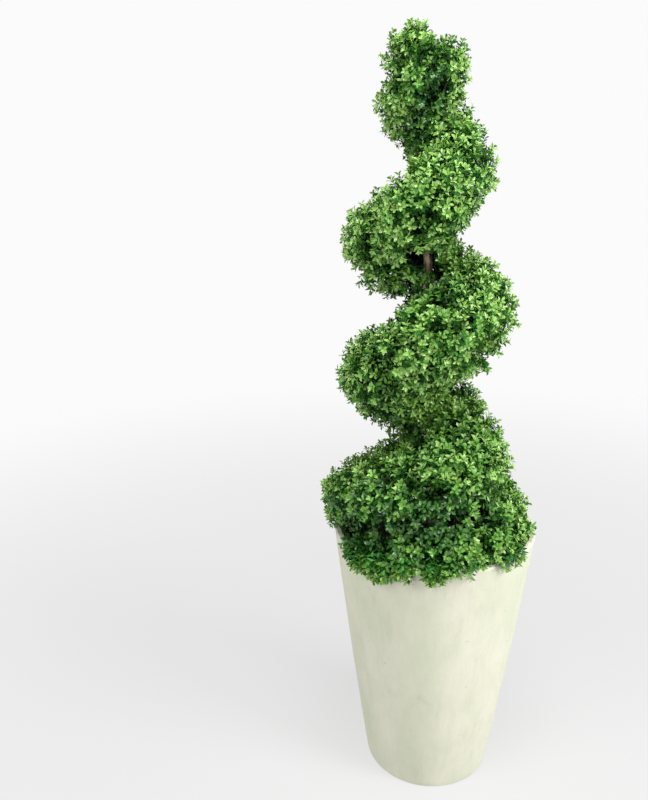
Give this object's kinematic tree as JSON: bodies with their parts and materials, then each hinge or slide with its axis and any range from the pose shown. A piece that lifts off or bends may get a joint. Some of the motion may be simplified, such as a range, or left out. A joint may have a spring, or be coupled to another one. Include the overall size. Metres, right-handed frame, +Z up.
{
  "type": "artificial boxwood spiral topiary in a planter",
  "caption": "Spiral topiary: dense small-leaved foliage winding up a slim trunk as a tapering coil above a wide skirt, in a tall tapered round planter.",
  "frame": {"origin": "centre of the planter's flat underside, on the floor", "axes": "+Z up along the planter's axis; -Y is the plant's front, +X its right; going up, the coil passes the left, the front, the right and the back"},
  "size_m": [0.4666, 0.4576, 1.6079],
  "materials": {
    "planter": "matte",
    "soil": "matte",
    "bark": "matte",
    "foliage": "satin"
  },
  "bodies": {
    "root": {"planter": "planter", "soil": "soil", "trunk": "bark", "coil_1_back_left": "foliage", "coil_1_back_right": "foliage", "coil_1_front_left": "foliage", "coil_1_front_right": "foliage", "coil_2_back_left": "foliage", "coil_2_back_right": "foliage", "coil_2_front_left": "foliage", "coil_2_front_right": "foliage", "coil_3_back_left": "foliage", "coil_3_back_right": "foliage", "coil_3_front_left": "foliage", "coil_3_front_right": "foliage", "finial_front_left": "foliage", "finial_front_right": "foliage", "skirt_back_left": "foliage", "skirt_back_right": "foliage", "skirt_front_left": "foliage", "skirt_front_right": "foliage"}
  },
  "joints": []
}
